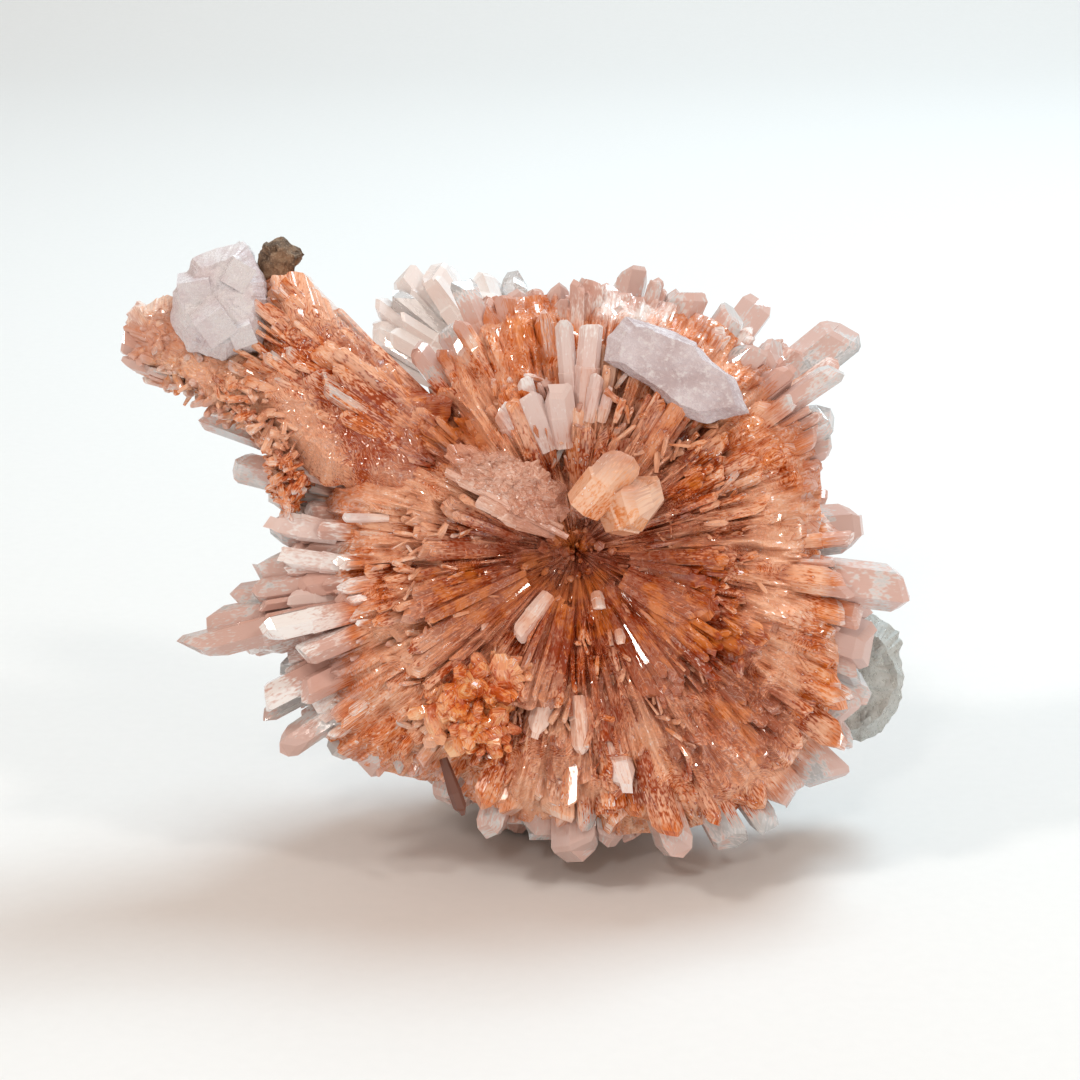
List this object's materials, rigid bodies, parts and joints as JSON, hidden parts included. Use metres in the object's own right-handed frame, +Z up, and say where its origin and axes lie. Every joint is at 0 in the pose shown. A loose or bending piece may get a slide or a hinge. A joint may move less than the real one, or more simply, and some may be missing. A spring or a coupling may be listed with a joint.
{
  "type": "creedite with fluorite",
  "caption": "Radiating burr of salmon-orange creedite crystals with a long arm, fluorite crystals on its arm, face and back, and a small flat spot to rest on.",
  "frame": {"origin": "on the floor, under the middle of the specimen's box", "axes": "+Z up, +X to the viewer's right along the longest side, -Y towards the viewer, where the open face of the burr looks"},
  "size_m": [0.0612, 0.0362, 0.0481],
  "materials": {
    "creedite_salmon": "glassy to frosted, translucent salmon orange",
    "creedite_cream": "translucent cream with orange veils",
    "creedite_clear": "clear to cream, glassy",
    "fluorite_lilac": "frosted pale lilac grey",
    "fluorite_grey_green": "frosted pale grey green",
    "matrix_brown": "rough dark brown",
    "crust_orange": "rough bright orange crust"
  },
  "bodies": {
    "root": {"creedite_burr": "creedite_salmon", "creedite_arm": "creedite_salmon", "creedite_blade_group": "creedite_cream", "creedite_pale_cluster": "creedite_clear", "creedite_frosted_blades": "creedite_cream", "creedite_cream_pair": "creedite_cream", "fluorite_on_arm": "fluorite_lilac", "fluorite_plate": "fluorite_lilac", "fluorite_green": "fluorite_grey_green", "matrix_tip": "matrix_brown", "orange_crust": "crust_orange"}
  },
  "joints": []
}
